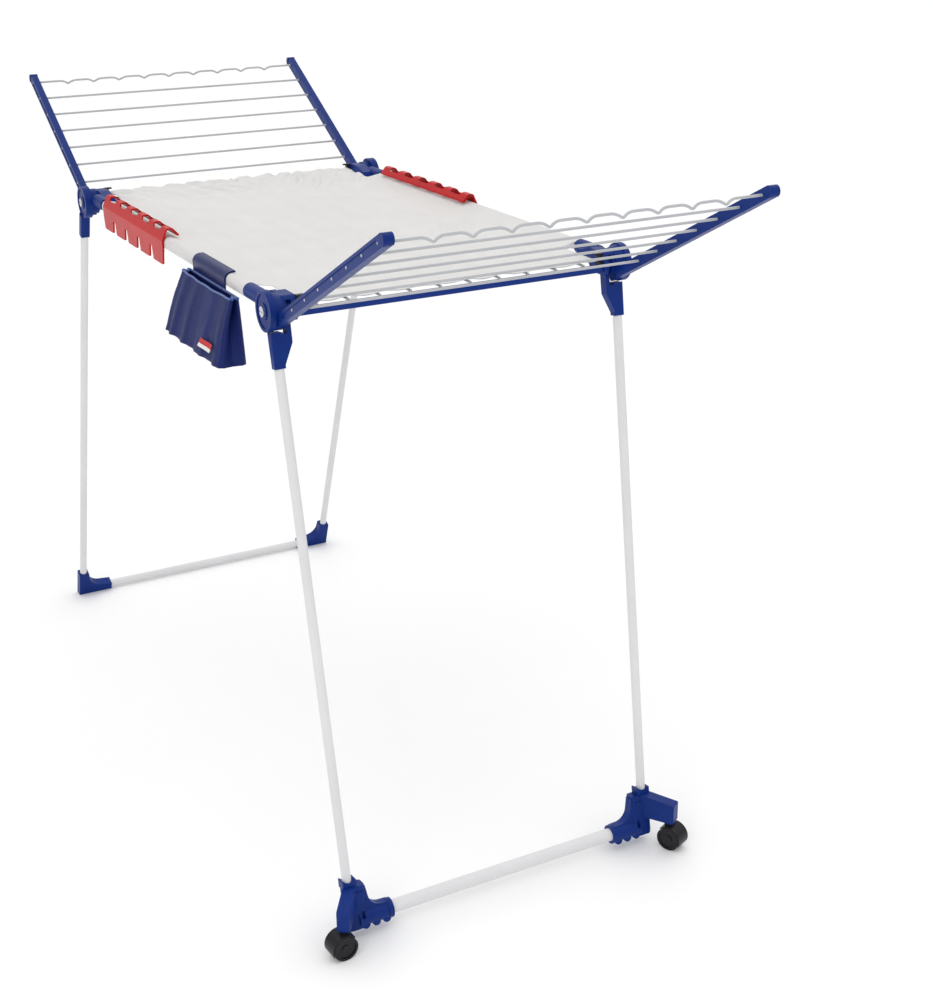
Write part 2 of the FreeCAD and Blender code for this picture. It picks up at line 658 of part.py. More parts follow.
def splayed(shape, end, side):
    """Lean a leg piece modelled upright at the leg's top side."""
    pivot = FreeCAD.Vector(0, side * leg_top_side(end), 0)
    return turned(shape, X, -side * leg_splay(end), pivot)


def leg_length(end, height):
    """Distance along the leg from the hinge axis down to a height above the floor."""
    return (HINGE_HEIGHT - height) / math.cos(math.radians(LEG_RAKE[end]))


def sleeve(end, side):
    """Socket at the top of a leg, with the eye that turns on the hinge pin."""
    centre = side * leg_top_side(end)
    half = side * SLEEVE_WIDTH / 2
    depth = SLEEVE_DEPTH / 2
    socket_top = -SLEEVE_START - 6.0
    body = plate_z(rectangle(-depth, depth, centre - half, centre + half, 2.5),
                   -SLEEVE_END[end], -SLEEVE_START + 9.0)
    body = splayed(body, end, side)
    if end == "front":
        body = body.cut(rod_along_y(0, 0, SLEEVE_SADDLE, side * EYE_INNER, side * HUB_OUTER * 1.1))
        eye = rod_along_y(0, 0, EYE_RADIUS, side * EYE_INNER, side * EYE_OUTER)
        neck = box(-depth, depth, side * EYE_INNER, side * EYE_OUTER, -SLEEVE_START - 14.0, -8.0)
        flare = plate_x([(side * EYE_INNER, -SLEEVE_START, 0), (centre, -SLEEVE_START, 0),
                         (centre, -SLEEVE_END[end] + 4.0, 0), (centre - half, -SLEEVE_END[end] + 4.0, 0),
                         (side * EYE_INNER, -SLEEVE_START - 14.0, 0)], -depth, depth)
        head = fuse_all([eye, neck, flare])
    else:
        face = centre - half + side * 0.25
        outer = centre + half - side * 3.0
        disc = rod_along_y(0, 0, HUB_RADIUS, face, outer)
        rim = rod_along_y(0, 0, HUB_RADIUS - 5.0, outer - side * 1.5, outer + side)
        boss = rod_along_y(0, 0, PIN_HEAD + 4.0, outer - side * 1.5, outer)
        body = body.cut(rod_along_y(0, 0, HUB_RADIUS - 2.0, face - side * 5.0, outer + side * 5.0))
        head = fuse_all([disc.cut(rim), boss])
    whole = fuse_all([head, body])
    bore = rod_along_y(0, 0, PIN_RADIUS + PIN_CLEARANCE, side * (EYE_INNER - 2), side * (REAR_LEG_SIDE + 20))
    socket = splayed(rod_along_z(0, centre, LEG_RADIUS + FIT, -SLEEVE_END[end] - 1, socket_top), end, side)
    return leg_to_rack(whole.cut(bore).cut(socket), end)


def leg_bottom(end):
    """Distance along the leg at which its tube stops, just above the bottom bar."""
    height = FRONT_BAR_HEIGHT if end == "front" else REAR_BAR_HEIGHT
    radius = FRONT_BAR_RADIUS if end == "front" else REAR_BAR_RADIUS
    return leg_length(end, height) - radius - 8.0


def leg_tube(end, side):
    top = SLEEVE_START + 7.0
    bottom = leg_bottom(end)
    centre = side * leg_top_side(end)
    outer = rod_along_z(0, centre, LEG_RADIUS, -bottom, -top)
    bore = rod_along_z(0, centre, LEG_RADIUS - LEG_WALL, -bottom - 1, -top + 1)
    return leg_to_rack(splayed(outer.cut(bore), end, side), end)


def leg_tube_room(end, side):
    """Blind hole for the leg tube in a foot, in the leg's own frame."""
    bottom = leg_bottom(end) + GAP
    hole = rod_along_z(0, side * leg_top_side(end), LEG_RADIUS + FIT, -bottom, -bottom + 300)
    return splayed(hole, end, side)


def bar_reach(end):
    """Half length of the bottom bar, up to its stop in the foot."""
    reach = FRONT_FOOT_REACH if end == "front" else REAR_FOOT_REACH
    return leg_side(end) - reach + 32.0


def bottom_bar(end):
    radius = FRONT_BAR_RADIUS if end == "front" else REAR_BAR_RADIUS
    height = FRONT_BAR_HEIGHT if end == "front" else REAR_BAR_HEIGHT
    half = bar_reach(end) - 0.5
    level = -leg_length(end, height)
    outer = rod_along_y(0, level, radius, -half, half)
    bore = rod_along_y(0, level, radius - LEG_WALL, -half - 1, half + 1)
    return leg_to_rack(outer.cut(bore), end)


def rear_foot(side):
    """Corner moulding with a concave web, flat on the floor."""
    level = leg_length("rear", 0.0)
    bar_level = leg_length("rear", REAR_BAR_HEIGHT)
    outer = REAR_LEG_SIDE + FOOT_HALF
    inner = REAR_LEG_SIDE - FOOT_HALF
    reach = REAR_LEG_SIDE - REAR_FOOT_REACH
    top = -level + REAR_FOOT_HEIGHT
    corners = [(side * outer, -level - 15.0, 0), (side * outer, top, 2), (side * inner, top, 2),
               (side * (inner - 4.0), -bar_level + REAR_BAR_RADIUS + 8.0, 30),
               (side * reach, -bar_level + REAR_BAR_RADIUS + 2.5, 2), (side * reach, -level - 15.0, 0)]
    half = REAR_FOOT_DEPTH / 2
    foot = plate_x(corners, -half, half)
    bar_room = rod_along_y(0, -bar_level, REAR_BAR_RADIUS + FIT, 0, side * bar_reach("rear"))
    foot = foot.cut(bar_room).cut(leg_tube_room("rear", side))
    placed = leg_to_rack(foot, "rear")
    below = box(-2000, 2000, -500, 500, -100, 0)
    return placed.cut(below)


def front_foot_body(side):
    """Leg socket, bar socket, web and lobes, in the leg's own frame."""
    level = -leg_length("front", FRONT_BAR_HEIGHT)
    centre = FRONT_LEG_SIDE
    reach = centre - FRONT_FOOT_REACH
    top = level + FRONT_FOOT_HEIGHT
    block = plate_z(rectangle(-FOOT_HALF, FOOT_HALF, side * (centre - 24), side * (centre + FOOT_HALF - GAP), 5.0),
                    level - 15.0, top)
    depth = FOOT_HALF - GAP
    width = FOOT_HALF + GAP
    collar_outline = rectangle(-depth, depth, side * (centre - width), side * (centre + width), 1.5)
    collar = plate_z(collar_outline, top - 1.0, top + COLLAR)
    collar = collar.cut(rod_along_x(side * centre, top + COLLAR + 10.0, 13.5, -20, 20))
    bar_socket = rod_along_y(0, level, FRONT_BAR_RADIUS + 4.0, side * reach, side * (centre - 10))
    ring = rod_along_y(0, level, FRONT_BAR_RADIUS + 5.2, side * reach, side * (reach + 8))
    web_corners = [(side * (centre - 20), top - 3.0, 0), (side * (centre - 20), level, 0),
                   (side * (reach + 4), level, 0), (side * (reach + 4), level + 15.0, 0),
                   (side * (centre - 32), level + 16.0, 24), (side * (centre - 25), top - 3.0, 0)]
    web = plate_x(web_corners, -8, 8)
    pad = box(FOOT_HALF, FOOT_HALF + 1.2, side * (centre - 20), side * (centre - 6), level + 24, level + 48)
    pieces = [block, collar, bar_socket, ring, web, pad]
    lobe_half = FOOT_HALF - 0.3
    for step in (12.0, 30.0, 48.0):
        pieces.append(rod_along_x(side * (reach + step), level - 11.0, 7.0, -lobe_half, lobe_half))
    foot = fuse_all(pieces)
    slot = box(8, 20, side * (centre - 19), side * (centre - 13), level + 2, level + 14)
    bar_room = rod_along_y(0, level, FRONT_BAR_RADIUS + FIT, 0, side * bar_reach("front"))
    return foot.cut(slot).cut(bar_room)


def front_leg_x(height):
    return HINGE_X["front"] + (HINGE_HEIGHT - height) * math.tan(math.radians(FRONT_LEG_RAKE))


OUTRIGGER_BASE = 2 * WHEEL_RADIUS + HOOD_GAP + HOOD_WALL + 4.5


def outrigger(side):
    """Arm that carries the caster, turned outward, level at rest."""
    half = OUTRIGGER_WIDTH / 2
    corners = [(0, OUTRIGGER_BASE, 0), (OUTRIGGER_LENGTH, OUTRIGGER_BASE, 3),
               (OUTRIGGER_LENGTH, OUTRIGGER_TOP - 6.0, 3), (0, OUTRIGGER_TOP, 0)]
    arm = plate_y(corners, -half, half)
    boss = rod_along_z(STEM_OFFSET, 0, 9.0, OUTRIGGER_BASE - 2.0, OUTRIGGER_BASE + 1)
    arm = arm.fuse(boss)
    hole = rod_along_z(STEM_OFFSET, 0, STEM_RADIUS + PIN_CLEARANCE, 0, OUTRIGGER_BASE + STEM_DEPTH + 1)
    arm = turned(arm.cut(hole), Z, OUTRIGGER_TURN * side)
    return moved(arm, front_leg_x(OUTRIGGER_BASE), side * FRONT_LEG_SIDE, 0)


def caster_swing():
    """Radius swept by a caster about its stem, with room to spare."""
    back = CASTER_TRAIL + WHEEL_RADIUS + HOOD_GAP + HOOD_WALL
    return math.hypot(back, CASTER_WEB / 2 + WHEEL_GAP + WHEEL_WIDTH) + 1.5


def front_foot(side):
    body = leg_to_rack(front_foot_body(side), "front")
    whole = fuse_all([body, outrigger(side)])
    x, y = stem_place(side)
    swing = rod_along_z(x, y, caster_swing(), 0, OUTRIGGER_BASE - 2.5)
    return whole.cut(swing).cut(leg_to_rack(leg_tube_room("front", side), "front"))


# ---- casters ----
def stem_place(side):
    turn = math.radians(OUTRIGGER_TURN)
    x = front_leg_x(OUTRIGGER_BASE) + STEM_OFFSET * math.cos(turn)
    return x, side * (FRONT_LEG_SIDE + STEM_OFFSET * math.sin(turn))


def caster_to_rack(shape, name):
    """Carry a caster modelled with its stem on the Z axis, wheel axis along X, trail along -Y."""
    x, y = stem_place(SIDES[name])
    return moved(turned(shape, Z, CASTER_TURN[name]), x, y, 0)


def caster_hood():
    """Fork, hood over the back of the wheels, and stem."""
    hood_in = WHEEL_RADIUS + HOOD_GAP
    hood_out = hood_in + HOOD_WALL
    half = CASTER_WEB / 2 + WHEEL_GAP + WHEEL_WIDTH
    centre = FreeCAD.Vector(0, -CASTER_TRAIL, WHEEL_RADIUS)
    web = Part.makeCylinder(hood_in + 0.5, CASTER_WEB, centre - FreeCAD.Vector(CASTER_WEB / 2, 0, 0), X)
    floor_cut = box(-50, 50, -80, 80, -60, 9.0)
    shell = Part.makeCylinder(hood_out, 2 * half, centre - FreeCAD.Vector(half, 0, 0), X)
    room = Part.makeCylinder(hood_in, 2 * half + 2, centre - FreeCAD.Vector(half + 1, 0, 0), X)
    front_cut = box(-50, 50, -CASTER_TRAIL + 6.0, 80, -60, WHEEL_RADIUS + 16.0)
    shell = shell.cut(room).cut(front_cut).cut(box(-50, 50, -80, 80, -60, WHEEL_RADIUS - 8.0))
    base = rod_along_z(0, 0, 8.0, WHEEL_RADIUS + hood_in - 6.0, OUTRIGGER_BASE - 2.5)
    base = base.cut(room)
    stem = rod_along_z(0, 0, STEM_RADIUS, OUTRIGGER_BASE - 4.0, OUTRIGGER_BASE + STEM_DEPTH)
    axle_hole = rod_along_x(-CASTER_TRAIL, WHEEL_RADIUS, AXLE_RADIUS + 0.02, -50, 50)
    return fuse_all([web.cut(floor_cut), shell, base, stem]).cut(axle_hole)


def caster_axle():
    half = CASTER_WEB / 2 + WHEEL_GAP + WHEEL_WIDTH - 1.5
    return rod_along_x(-CASTER_TRAIL, WHEEL_RADIUS, AXLE_RADIUS, -half, half)


def caster_wheel(direction):
    """One wheel of the pair, with a raised rim and hub on its outer face."""
    near = CASTER_WEB / 2 + WHEEL_GAP
    far = near + WHEEL_WIDTH
    wheel = rod_along_x(-CASTER_TRAIL, WHEEL_RADIUS, WHEEL_RADIUS, direction * near, direction * far)
    dish = rod_along_x(-CASTER_TRAIL, WHEEL_RADIUS, WHEEL_RADIUS - 4.0,
                       direction * (far - 1.5), direction * (far + 1))
    hub = rod_along_x(-CASTER_TRAIL, WHEEL_RADIUS, 7.0, direction * (far - 1.5), direction * (far - 0.3))
    bore = rod_along_x(-CASTER_TRAIL, WHEEL_RADIUS, AXLE_RADIUS + PIN_CLEARANCE, direction * (near - 1),
                       direction * (far - 1.4))
    return wheel.cut(dish).fuse(hub).removeSplitter().cut(bore)


# ---- all nodes ----
def write_wing(end):
    facing = ENDS[end]
    for name, side in SIDES.items():
        local = side * facing
        write(end + "_wing_arm_" + name, wing_to_rack(wing_arm(local), end))
        hub = front_hub(local) if end == "front" else rear_hub(local)
        write(end + "_wing_hub_" + name, wing_to_rack(hub, end))
    tips = Part.makeCompound([wing_tip(side) for side in SIDES.values()])
    write(end + "_wing_tips", wing_to_rack(tips, end))
    write(end + "_wing_rods", wing_to_rack(Part.makeCompound(straight_rods()), end))
    write(end + "_hanger_rod", wing_to_rack(hanger_rod(), end))


def write_centre():
    for end, facing in ENDS.items():
        write(end + "_end_bar", end_bar(end))
        for name, side in SIDES.items():
            write("corner_block_" + end + "_" + name, corner_block(end, side * facing))
    for name, side in SIDES.items():
        write("side_tube_" + name, side_tube(side))
        write("item_holder_" + name, item_holder(side))
    corners = [(end, side) for end in ENDS for side in SIDES.values()]
    write("hinge_pins", Part.makeCompound([hinge_pin(end, side) for end, side in corners]))
    write("cloth_hooks", Part.makeCompound([cloth_hook(end, side) for end, side in corners]))
    write("centre_rods", centre_rods())
    write("middle_bar", middle_bar())
    write("cover_cloth", cover_cloth())
    write("peg_bag", peg_bag())
    write("peg_bag_clip", peg_bag_clip())
    write("peg_bag_label", peg_bag_label())


def write_legs(end):
    facing = ENDS[end]
    for name, side in SIDES.items():
        local = side * facing
        write(end + "_leg_sleeve_" + name, sleeve(end, local))
        write(end + "_leg_tube_" + name, leg_tube(end, local))
        foot = front_foot(side) if end == "front" else rear_foot(local)
        write(end + "_foot_" + name, foot)
    write(end + "_bottom_bar", bottom_bar(end))


def write_casters():
    for name in SIDES:
        write("caster_" + name + "_hood", caster_to_rack(caster_hood(), name))
        write("caster_" + name + "_axle", caster_to_rack(caster_axle(), name))
        write("caster_" + name + "_wheel_a", caster_to_rack(caster_wheel(-1), name))
        write("caster_" + name + "_wheel_b", caster_to_rack(caster_wheel(1), name))


def main():
    os.makedirs("parts", exist_ok=True)
    for end in ENDS:
        write_wing(end)
        write_legs(end)
    write_centre()
    write_casters()


main()
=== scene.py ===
"""Looks of the folding clothes drying rack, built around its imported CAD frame.

Lengths are metres in the rack's own frame: +X to the wheeled end, +Y to its left, +Z up.
"""
import json
import math

import bpy
import numpy as np
from mathutils import Matrix, Vector, noise


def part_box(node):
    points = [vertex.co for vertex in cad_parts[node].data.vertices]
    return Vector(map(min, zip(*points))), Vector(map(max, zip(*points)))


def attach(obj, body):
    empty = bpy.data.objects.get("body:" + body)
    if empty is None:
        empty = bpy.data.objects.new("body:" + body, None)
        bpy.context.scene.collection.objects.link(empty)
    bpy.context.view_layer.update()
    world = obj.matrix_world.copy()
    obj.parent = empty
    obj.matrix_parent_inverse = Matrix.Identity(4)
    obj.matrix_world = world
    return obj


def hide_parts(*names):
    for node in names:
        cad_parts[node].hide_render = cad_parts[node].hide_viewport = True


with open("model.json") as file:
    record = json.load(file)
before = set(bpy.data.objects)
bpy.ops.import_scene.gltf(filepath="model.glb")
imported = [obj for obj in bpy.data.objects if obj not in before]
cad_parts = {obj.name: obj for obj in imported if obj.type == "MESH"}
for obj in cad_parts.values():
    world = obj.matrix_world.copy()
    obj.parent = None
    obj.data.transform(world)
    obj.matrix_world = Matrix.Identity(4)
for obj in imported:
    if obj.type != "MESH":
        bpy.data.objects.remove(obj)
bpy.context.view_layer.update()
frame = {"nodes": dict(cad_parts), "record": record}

SCENE = bpy.context.scene
NODES = frame["nodes"]


# ---- places read from the frame ----
CLOTH_LOW, CLOTH_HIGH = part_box("cover_cloth")
TUBE_LOW, TUBE_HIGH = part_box("side_tube_left")
RODS_LOW, RODS_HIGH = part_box("centre_rods")
BAG_LOW, BAG_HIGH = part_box("peg_bag")
CLIP_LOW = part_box("peg_bag_clip")[0]
TAG_LOW, TAG_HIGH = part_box("peg_bag_label")

MID_X = (CLOTH_LOW.x + CLOTH_HIGH.x) / 2
TUBE_Y = (TUBE_LOW.y + TUBE_HIGH.y) / 2
TUBE_Z = (TUBE_LOW.z + TUBE_HIGH.z) / 2
TUBE_RADIUS = (TUBE_HIGH.z - TUBE_LOW.z) / 2


# ---- node materials ----
def new_material(name):
    made = bpy.data.materials.new(name)
    made.use_nodes = True
    tree = made.node_tree
    tree.nodes.clear()
    output = tree.nodes.new("ShaderNodeOutputMaterial")
    shader = tree.nodes.new("ShaderNodeBsdfPrincipled")
    tree.links.new(shader.outputs[0], output.inputs[0])
    place = tree.nodes.new("ShaderNodeTexCoord").outputs["Object"]
    return made, tree, shader, place


def stretched(tree, place, scale):
    mapping = tree.nodes.new("ShaderNodeMapping")
    mapping.inputs["Scale"].default_value = scale
    tree.links.new(place, mapping.inputs["Vector"])
    return mapping.outputs[0]


def noise_value(tree, place, scale, detail=2.0, roughness=0.5):
    node = tree.nodes.new("ShaderNodeTexNoise")
    node.inputs["Scale"].default_value = scale
    node.inputs["Detail"].default_value = detail
    node.inputs["Roughness"].default_value = roughness
    tree.links.new(place, node.inputs["Vector"])
    return node.outputs["Fac"]


def wave_value(tree, place, scale, direction, distortion=0.0):
    node = tree.nodes.new("ShaderNodeTexWave")
    node.bands_direction = direction
    node.inputs["Scale"].default_value = scale
    node.inputs["Distortion"].default_value = distortion
    tree.links.new(place, node.inputs["Vector"])
    return node.outputs["Fac"]


def ramp(tree, value, low, high, start=0.3, end=0.7):
    """Colour that runs from low to high as value goes from start to end."""
    node = tree.nodes.new("ShaderNodeValToRGB")
    node.color_ramp.elements[0].position = start
    node.color_ramp.elements[1].position = end
    node.color_ramp.elements[0].color = (*low, 1.0)
    node.color_ramp.elements[1].color = (*high, 1.0)
    tree.links.new(value, node.inputs[0])
    return node.outputs[0]


def span(tree, value, low, high):
    """Number that runs from low to high as value goes from 0 to 1."""
    node = tree.nodes.new("ShaderNodeMapRange")
    node.inputs["To Min"].default_value = low
    node.inputs["To Max"].default_value = high
    tree.links.new(value, node.inputs["Value"])
    return node.outputs[0]


def maths(tree, operation, first, second):
    node = tree.nodes.new("ShaderNodeMath")
    node.operation = operation
    for index, value in enumerate((first, second)):
        if isinstance(value, float):
            node.inputs[index].default_value = value
        else:
            tree.links.new(value, node.inputs[index])
    return node.outputs[0]


def bump(tree, shader, height, distance, strength=1.0, under=None):
    node = tree.nodes.new("ShaderNodeBump")
    node.inputs["Distance"].default_value = distance
    node.inputs["Strength"].default_value = strength
    tree.links.new(height, node.inputs["Height"])
    if under is not None:
        tree.links.new(under, node.inputs["Normal"])
    tree.links.new(node.outputs[0], shader.inputs["Normal"])
    return node.outputs[0]


def shade(colour, share):
    return tuple(min(1.0, channel * share) for channel in colour)


def solid_material(name, colour, roughness, grain, depth, vary=0.12, metallic=0.0, coat=0.0):
    """Moulded, coated or bare hard surface: mottled colour, uneven gloss, fine grain."""
    made, tree, shader, place = new_material(name)
    broad = noise_value(tree, place, 9.0, 4.0, 0.6)
    tint = ramp(tree, broad, shade(colour, 1 - vary), shade(colour, 1 + vary))
    tree.links.new(tint, shader.inputs["Base Color"])
    smear = noise_value(tree, place, 45.0, 3.0, 0.7)
    tree.links.new(span(tree, smear, roughness * 0.8, roughness * 1.25), shader.inputs["Roughness"])
    fine = noise_value(tree, place, grain, 1.0)
    soft = bump(tree, shader, noise_value(tree, place, 140.0, 1.0), 0.0002, 0.35)
    bump(tree, shader, fine, depth, 0.6, soft)
    shader.inputs["Metallic"].default_value = metallic
    shader.inputs["Coat Weight"].default_value = coat
    shader.inputs["Coat Roughness"].default_value = 0.15
    shader.inputs["Specular IOR Level"].default_value = 0.15
    return made


def woven_material(name, colour, roughness, threads, depth, vary=0.08, sheen=0.3, alpha=1.0):
    """Plain weave: threads crossing along X and Y (or Z), with slubs and a soft sheen."""
    made, tree, shader, place = new_material(name)
    broad = noise_value(tree, place, 14.0, 4.0, 0.6)
    slub = noise_value(tree, stretched(tree, place, (1.0, 22.0, 22.0)), 30.0, 2.0)
    mixed = maths(tree, "ADD", maths(tree, "MULTIPLY", broad, 0.6), maths(tree, "MULTIPLY", slub, 0.4))
    tint = ramp(tree, mixed, shade(colour, 1 - vary), shade(colour, 1 + vary), 0.35, 0.65)
    tree.links.new(tint, shader.inputs["Base Color"])
    warp = wave_value(tree, place, threads, "X", 0.4)
    weft = maths(tree, "MAXIMUM", wave_value(tree, place, threads, "Y", 0.4),
                 wave_value(tree, place, threads, "Z", 0.4))
    weave = maths(tree, "MULTIPLY", warp, weft)
    tree.links.new(span(tree, slub, roughness * 0.85, roughness * 1.15), shader.inputs["Roughness"])
    soft = bump(tree, shader, noise_value(tree, place, 60.0, 3.0), 0.0006, 0.4)
    bump(tree, shader, weave, depth, 0.7, soft)
    shader.inputs["Sheen Weight"].default_value = sheen
    shader.inputs["Specular IOR Level"].default_value = 0.2
    shader.inputs["Sheen Roughness"].default_value = 0.4
    shader.inputs["Alpha"].default_value = alpha
    return made


BLUE = (0.003, 0.024, 0.175)
PROFILE_BLUE = (0.004, 0.027, 0.190)
WHITE = (0.71, 0.71, 0.72)
ROD_GREY = (0.46, 0.47, 0.49)
STEEL = (0.62, 0.62, 0.64)
HOOD_BLACK = (0.013, 0.013, 0.016)
WHEEL_BLACK = (0.010, 0.010, 0.013)
RED = (0.50, 0.002, 0.003)
NAVY = (0.006, 0.013, 0.10)
CLOTH_WHITE = (0.77, 0.76, 0.745)
NYLON = (0.004, 0.014, 0.115)
PIPING = (0.022, 0.085, 0.36)

MATERIALS = {
    "blue_plastic": solid_material("blue_moulded", BLUE, 0.38, 2600.0, 0.00008),
    "blue_profile": solid_material("blue_coated_profile", PROFILE_BLUE, 0.32, 1500.0, 0.00004, 0.07),
    "blue_arm": solid_material("blue_moulded_arm", BLUE, 0.36, 2200.0, 0.00006, 0.08),
    "white_tube": solid_material("white_powder_coat", WHITE, 0.30, 900.0, 0.00005, 0.03, coat=0.15),
    "coated_rod": solid_material("grey_coated_rod", ROD_GREY, 0.34, 1200.0, 0.00003, 0.05, coat=0.1),
    "pin_steel": solid_material("turned_steel", STEEL, 0.26, 1800.0, 0.00003, 0.05, metallic=1.0),
    "black_plastic": solid_material("black_moulded", HOOD_BLACK, 0.30, 2400.0, 0.00006, 0.25),
    "wheel_plastic": solid_material("black_wheel", WHEEL_BLACK, 0.24, 2000.0, 0.00005, 0.3, coat=0.2),
    "red_plastic": solid_material("red_moulded", RED, 0.30, 2200.0, 0.00004, 0.08),
    "clip_plastic": solid_material("navy_moulded", NAVY, 0.30, 2400.0, 0.00006, 0.15),
    "cloth": woven_material("cover_weave", CLOTH_WHITE, 0.38, 900.0, 0.00012, 0.03, 0.1, 0.93),
    "bag_nylon": woven_material("nylon_weave", NYLON, 0.45, 1100.0, 0.00012, 0.16, 0.0),
    "piping": woven_material("piping_weave", PIPING, 0.45, 1400.0, 0.00012, 0.1, 0.4),
}


def tag_material():
    """Woven tag: a plain red field with a white band along its lower part."""
    made, tree, shader, place = new_material("tag_weave")
    separate = tree.nodes.new("ShaderNodeSeparateXYZ")
    tree.links.new(place, separate.inputs[0])
    middle = (TAG_LOW.z + TAG_HIGH.z) / 2
    band = maths(tree, "LESS_THAN", separate.outputs["Z"], middle - 0.001)
    tint = ramp(tree, band, (0.52, 0.012, 0.016), (0.80, 0.79, 0.77), 0.4, 0.6)
    tree.links.new(tint, shader.inputs["Base Color"])
    warp = wave_value(tree, place, 1600.0, "X")
    weft = wave_value(tree, place, 1600.0, "Z")
    weave = maths(tree, "MULTIPLY", warp, weft)
    bump(tree, shader, weave, 0.0001, 0.6)
    tree.links.new(span(tree, weave, 0.5, 0.65), shader.inputs["Roughness"])
    return made


# ---- mesh helpers ----
def mesh_piece(name, points, faces, material, body="centre_frame", smooth=True):
    data = bpy.data.meshes.new(name)
    data.from_pydata([tuple(p) for p in points], [], faces)
    data.validate()
    data.materials.append(material)
    for polygon in data.polygons:
        polygon.use_smooth = smooth
    piece = bpy.data.objects.new(name, data)
    SCENE.collection.objects.link(piece)
    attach(piece, body)
    return piece


def thicken(piece, thickness, offset=0.0):
    modifier = piece.modifiers.new("thickness", "SOLIDIFY")
    modifier.thickness = thickness
    modifier.offset = offset
    modifier.use_rim = True
    return modifier


def bead(name, points, radius, material, closed=False, body="centre_frame", sides=8):
    """Round bead that follows a line of points."""
    count = len(points)
    line = [Vector(p) for p in points]
    vertices = []
    side = None
    for index in range(count):
        before = line[index - 1] if closed or index > 0 else line[index]
        after = line[(index + 1) % count] if closed or index < count - 1 else line[index]
        along = (after - before).normalized()
        if side is None:
            helper = Vector((0, 0, 1)) if abs(along.z) < 0.9 else Vector((1, 0, 0))
            side = along.cross(helper).normalized()
        side = (side - along * side.dot(along)).normalized()
        other = along.cross(side)
        for step in range(sides):
            turn = 2 * math.pi * step / sides
            vertices.append(line[index] + radius * (math.cos(turn) * side + math.sin(turn) * other))
    faces = []
    for index in range(count if closed else count - 1):
        here = index * sides
        there = ((index + 1) % count) * sides
        for step in range(sides):
            following = (step + 1) % sides
            faces.append((here + step, here + following, there + following, there + step))
    if not closed:
        faces.append(tuple(reversed(range(sides))))
        faces.append(tuple(range((count - 1) * sides, count * sides)))
    return mesh_piece(name, vertices, faces, material, body)


def smoothstep(low, high, value):
    share = min(1.0, max(0.0, (value - low) / (high - low)))
    return share * share * (3 - 2 * share)


def wander(x, y, scale, seed=0.0):
    """Smooth pseudo-random number from about -1 to 1, the same on each run."""
    return noise.noise(Vector((x * scale + seed, y * scale - seed, seed * 0.7)))


# ---- cover cloth ----
CLOTH_THICK = 0.0008
NARROW_Y = 0.2495
WIDE_X = 0.372
WRAP_RADIUS = TUBE_RADIUS + 0.0007
DROP = TUBE_Z - CLOTH_LOW.z - 0.0004
END_X = CLOTH_HIGH.x - MID_X - 0.0005
BED_Z = RODS_HIGH.z + 0.0009
ROD_PITCH = (RODS_HIGH.y - RODS_LOW.y - 0.004) / 9
CREST_EDGE = 0.285
SLACK_EDGE = 0.282
REAR_LIFT = 0.0085
FRONT_LIFT = 0.0020
GATHER_HEIGHT = 0.0052
CREASE_HEIGHT = 0.0026
FRONT_GATHER_HEIGHT = 0.0012
ROD_SAG = 0.0014
SIDE_HEM_RADIUS = 0.0007
END_HEM_RADIUS = 0.0011


def across_tube(s):
    """Side tube section: distance from the middle line along the cloth gives y and z."""
    side = 1 if s >= 0 else -1
    reach = abs(s)
    arc = WRAP_RADIUS * math.pi / 2
    if reach <= TUBE_Y:
        return side * reach, 0.0
    if reach <= TUBE_Y + arc:
        turn = (reach - TUBE_Y) / WRAP_RADIUS
        return side * (TUBE_Y + WRAP_RADIUS * math.sin(turn)), WRAP_RADIUS * (math.cos(turn) - 1)
    return side * (TUBE_Y + WRAP_RADIUS), -WRAP_RADIUS - (reach - TUBE_Y - arc)


def gathers(x, y):
    """Diagonal folds that the ends of the cloth are pulled into, from about -1 to 1."""
    lean = 0.85 if y > 0 else -0.85
    diagonal = y * 1.25 + (x + 0.47) * lean
    coarse = math.sin(diagonal * 105 + 4.2 * wander(x, y, 9.0, 3.0))
    fine = math.sin(diagonal * 230 + 5.0 * wander(x, y, 12.0, 6.0))
    return (coarse + 0.45 * fine) * (0.6 + 0.5 * wander(x, y, 14.0, 8.0))


def cloth_height(x, y):
    """Height of the cloth's middle surface between the side tubes."""
    top = TUBE_Z + WRAP_RADIUS
    inside = max(0.0, 1 - (abs(y) / TUBE_Y) ** 2)
    ripple = 0.5 - 0.5 * math.cos(2 * math.pi * (y / ROD_PITCH - 0.5))
    bed = BED_Z + 0.0004 - ROD_SAG * ripple * smoothstep(0.26, 0.20, abs(y))
    fall = (top - bed) * (1 - (1 - min(1.0, inside * 2.1)) ** 2)
    level = top - fall
    centred = smoothstep(CREST_EDGE, 0.20, abs(y))
    level += REAR_LIFT * centred * smoothstep(-0.31, -0.45, x)
    level += FRONT_LIFT * centred * smoothstep(0.36, 0.47, x)
    slack = smoothstep(SLACK_EDGE, 0.24, abs(y))
    band = smoothstep(-0.31, -0.41, x) * (1 - 0.5 * smoothstep(-0.455, -0.480, x))
    level += slack * band * GATHER_HEIGHT * gathers(x, y)
    crease = wander(x * 0.35, y, 26.0, 5.0) * wander(x, y, 7.0, 1.0)
    level += slack * CREASE_HEIGHT * crease
    front_gather = math.sin(y * 95 + 2.0 * wander(x, y, 8.0, 11.0))
    level += slack * smoothstep(0.38, 0.46, x) * FRONT_GATHER_HEIGHT * front_gather
    over_rods = abs(y) < 0.24
    return max(level, BED_Z - 0.0004) if over_rods else level


